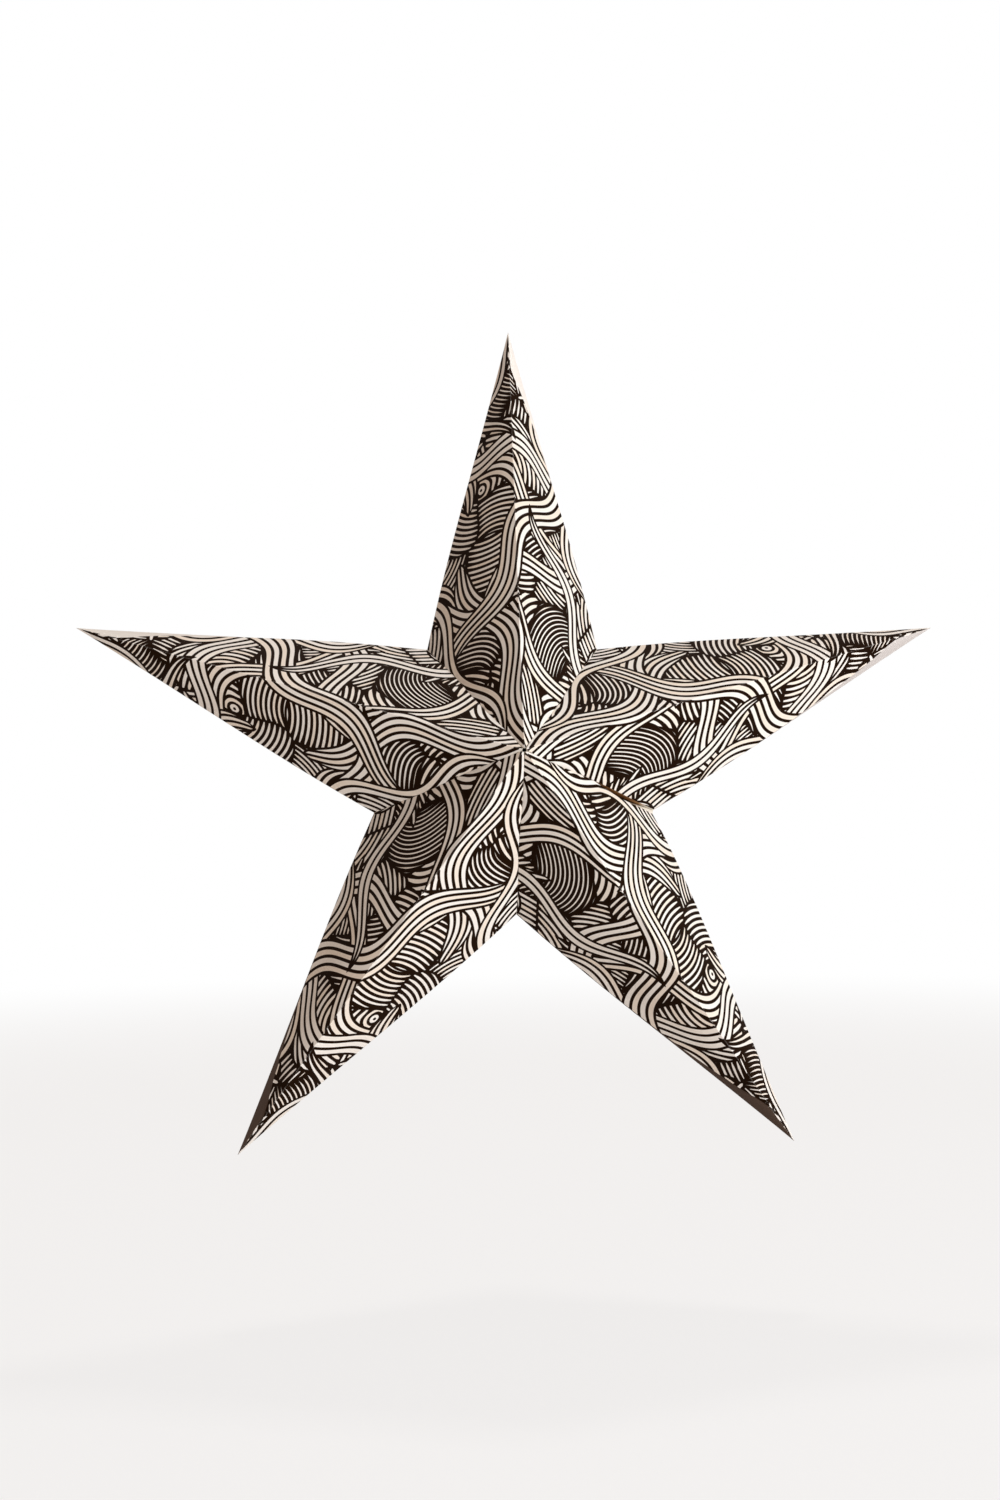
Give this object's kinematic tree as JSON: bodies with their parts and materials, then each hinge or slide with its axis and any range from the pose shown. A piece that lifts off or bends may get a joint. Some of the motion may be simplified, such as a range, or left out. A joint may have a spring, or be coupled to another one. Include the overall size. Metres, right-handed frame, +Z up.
{
  "type": "hanging paper star",
  "caption": "Hollow five-pointed star of folded printed paper, with a ridge along each point and glued valley seams between them.",
  "frame": {"origin": "the star's centre, on the axis through the front and back middles and in the plane of the five tips", "axes": "+X to the right tip's side, -Y out of the front, +Z up to the top tip"},
  "size_m": [0.6, 0.19, 0.5706],
  "materials": {
    "printed_paper": "uncoated cream paper printed with dark brown wavy lines"
  },
  "bodies": {
    "root": {"point_top": "printed_paper", "point_right": "printed_paper", "point_lower_right": "printed_paper", "point_lower_left": "printed_paper", "point_left": "printed_paper"}
  },
  "joints": []
}
